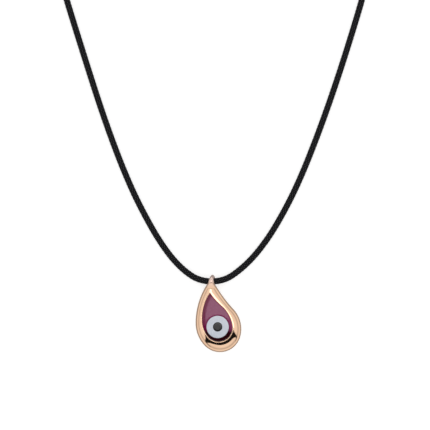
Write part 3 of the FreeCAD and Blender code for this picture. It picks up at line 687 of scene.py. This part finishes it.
def make_camera():
    data = bpy.data.cameras.new("camera")
    data.lens = LENS
    data.sensor_width = SENSOR
    data.clip_end = 20.0
    camera = add_object("camera", data)
    height = VIEW_WIDTH * MM * LENS / SENSOR
    camera.location = (VIEW_CENTRE[0] * MM, VIEW_CENTRE[1] * MM, height + VIEW_LEVEL * MM)
    bpy.context.scene.camera = camera


# The studio's brightness by height, from below to straight above.
SKY = [(0.0, 0.30), (0.12, 0.45), (0.35, 0.92), (0.60, 0.92), (0.75, 0.54), (0.89, 0.95), (1.0, 0.98)]


def make_world():
    world = bpy.data.worlds.new("studio")
    bpy.context.scene.world = world
    world.use_nodes = True
    tree = world.node_tree
    background = tree.nodes["Background"]
    place = tree.nodes.new("ShaderNodeTexCoord")
    split = tree.nodes.new("ShaderNodeSeparateXYZ")
    ramp = tree.nodes.new("ShaderNodeValToRGB")
    tree.links.new(place.outputs["Generated"], split.inputs["Vector"])
    tree.links.new(split.outputs["Z"], ramp.inputs["Fac"])
    tree.links.new(ramp.outputs["Color"], background.inputs["Color"])
    elements = ramp.color_ramp.elements
    while len(elements) < len(SKY):
        elements.new(0.5)
    for element, (position, level) in zip(elements, SKY):
        element.position = position
        element.color = (level, level, level, 1)
    background.inputs["Strength"].default_value = 1.0


FLOOR_SIZE = 3.0  # metres from the middle to the edge
FLOOR_GREY = 0.6
FLOOR_GLOW = 0.62
CARD_SIZE = 0.4
CARD_HEIGHT = 0.00002
CARD_SHADE = 0.4
STUDIO = 0.6  # metres from the drop to the softbox
FLAG_DISTANCE = 0.54
FLAG_POINTS = 60
FLAG_SHADE = 0.01
FLAG_SMOOTHING = 4


def glowing(name, grey, glow):
    """A plain matt grey that also gives off an even light."""
    nodes = Nodes(name)
    nodes.set(Base_Color=(grey, grey, grey, 1), Roughness=1.0, Specular_IOR_Level=0.0,
              Emission_Color=(1, 1, 1, 1), Emission_Strength=glow)
    return nodes.material


def make_sheet(name, size, height, material):
    """A level square sheet, used for the studio's floor and card."""
    mesh = bpy.data.meshes.new(name)
    mesh.from_pydata([(-size, -size, height), (size, -size, height), (size, size, height),
                      (-size, size, height)], [], [(0, 1, 2, 3)])
    mesh.materials.append(material)
    sheet = add_object(name, mesh)
    return sheet


def only_reflected(thing):
    """Leaves a thing to be seen in glossy reflections alone."""
    thing.visible_camera = False
    thing.visible_shadow = False
    thing.visible_diffuse = False


def make_softbox(name, x_low, x_high, y_low, y_high, brightness):
    """A soft light straight above, between sines of the angles it spans as seen from the drop."""
    data = bpy.data.lights.new(name, "AREA")
    data.shape = "RECTANGLE"
    data.size = (x_high - x_low) * STUDIO
    data.size_y = (y_high - y_low) * STUDIO
    data.energy = brightness * math.pi * data.size * data.size_y
    light = add_object(name, data)
    light.location = ((x_low + x_high) / 2 * STUDIO, (y_low + y_high) / 2 * STUDIO, STUDIO)
    light.visible_camera = False


def make_flag(name, line):
    """A dark strip on the studio's dome, so that polished edges have something dark to mirror."""
    line = np.array(line, float)
    at = np.linspace(0, len(line) - 1, FLAG_POINTS)
    path = np.stack([np.interp(at, np.arange(len(line)), line[:, n]) for n in range(3)], axis=-1)
    for _ in range(FLAG_SMOOTHING):
        path[1:-1] = (path[:-2] + 2 * path[1:-1] + path[2:]) / 4
    run = np.gradient(path[:, :2], axis=0)
    run /= np.linalg.norm(run, axis=1)[:, None]
    across = np.stack([-run[:, 1], run[:, 0]], axis=-1)
    sides = []
    for sign in (-0.5, 0.5):
        flat = path[:, :2] + across * path[:, 2:3] * sign
        rise = np.sqrt(np.maximum(1 - (flat ** 2).sum(axis=1), 0.01))
        sides.append(np.column_stack([flat, rise]) * FLAG_DISTANCE)
    points = np.concatenate(sides) / MM
    flag = mesh_object(name, points, grid_faces(2, FLAG_POINTS).tolist())
    flag.data.materials.append(glowing(name, 0, FLAG_SHADE))
    only_reflected(flag)


# ---------------------------------------------------------------- the whole necklace

make_camera()
make_world()
make_sheet("floor", FLOOR_SIZE, 0, glowing("pale_floor", FLOOR_GREY, FLOOR_GLOW))
make_softbox("softbox", -0.09, 0.19, -0.035, 0.24, 1.3)
make_flag("flag", [(-0.327, -0.655, 0.05), (-0.478, -0.485, 0.07), (-0.295, -0.335, 0.10),
                   (-0.110, -0.205, 0.18), (0.0, -0.178, 0.26), (0.13, -0.170, 0.24),
                   (0.265, -0.165, 0.12), (0.46, -0.217, 0.065), (0.635, -0.300, 0.06),
                   (0.59, -0.465, 0.05)])
# A grey card, so that the necklace's edges mirror a tone.
only_reflected(make_sheet("card", CARD_SIZE, CARD_HEIGHT, glowing("grey_card", 0, CARD_SHADE)))

cord, cord_line = make_cord()
drop_casting = make_casting(NET_STEP)
enamel = make_enamel()
white, pupil = make_eye()

gold = rose_gold("rose_gold", 0.03, 0.08, 0.02)
fittings_gold = rose_gold("rose_gold_fittings", 0.06, 0.14, 0.04)
drop_casting.data.materials.append(gold)
enamel.data.materials.append(purple_enamel())
white.data.materials.append(
    lacquer("white_enamel", (0.58, 0.62, 0.70), (0.64, 0.68, 0.76), 0.06, 0.108))
pupil.data.materials.append(
    lacquer("pupil_enamel", (0.006, 0.006, 0.008), (0.012, 0.012, 0.014), 0.05, 0.09))
cord.data.materials.append(braided_thread())

FITTINGS = [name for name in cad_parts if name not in
            ("cord", "drop_frame", "bail_loop", "purple_enamel", "white_enamel_disc", "pupil")]
steel = spring_steel()
for name in FITTINGS:
    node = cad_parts[name]
    node.data.materials.clear()
    node.data.materials.append(steel if name == "clasp_spring" else fittings_gold)

bpy.context.scene.view_settings.view_transform = "Standard"
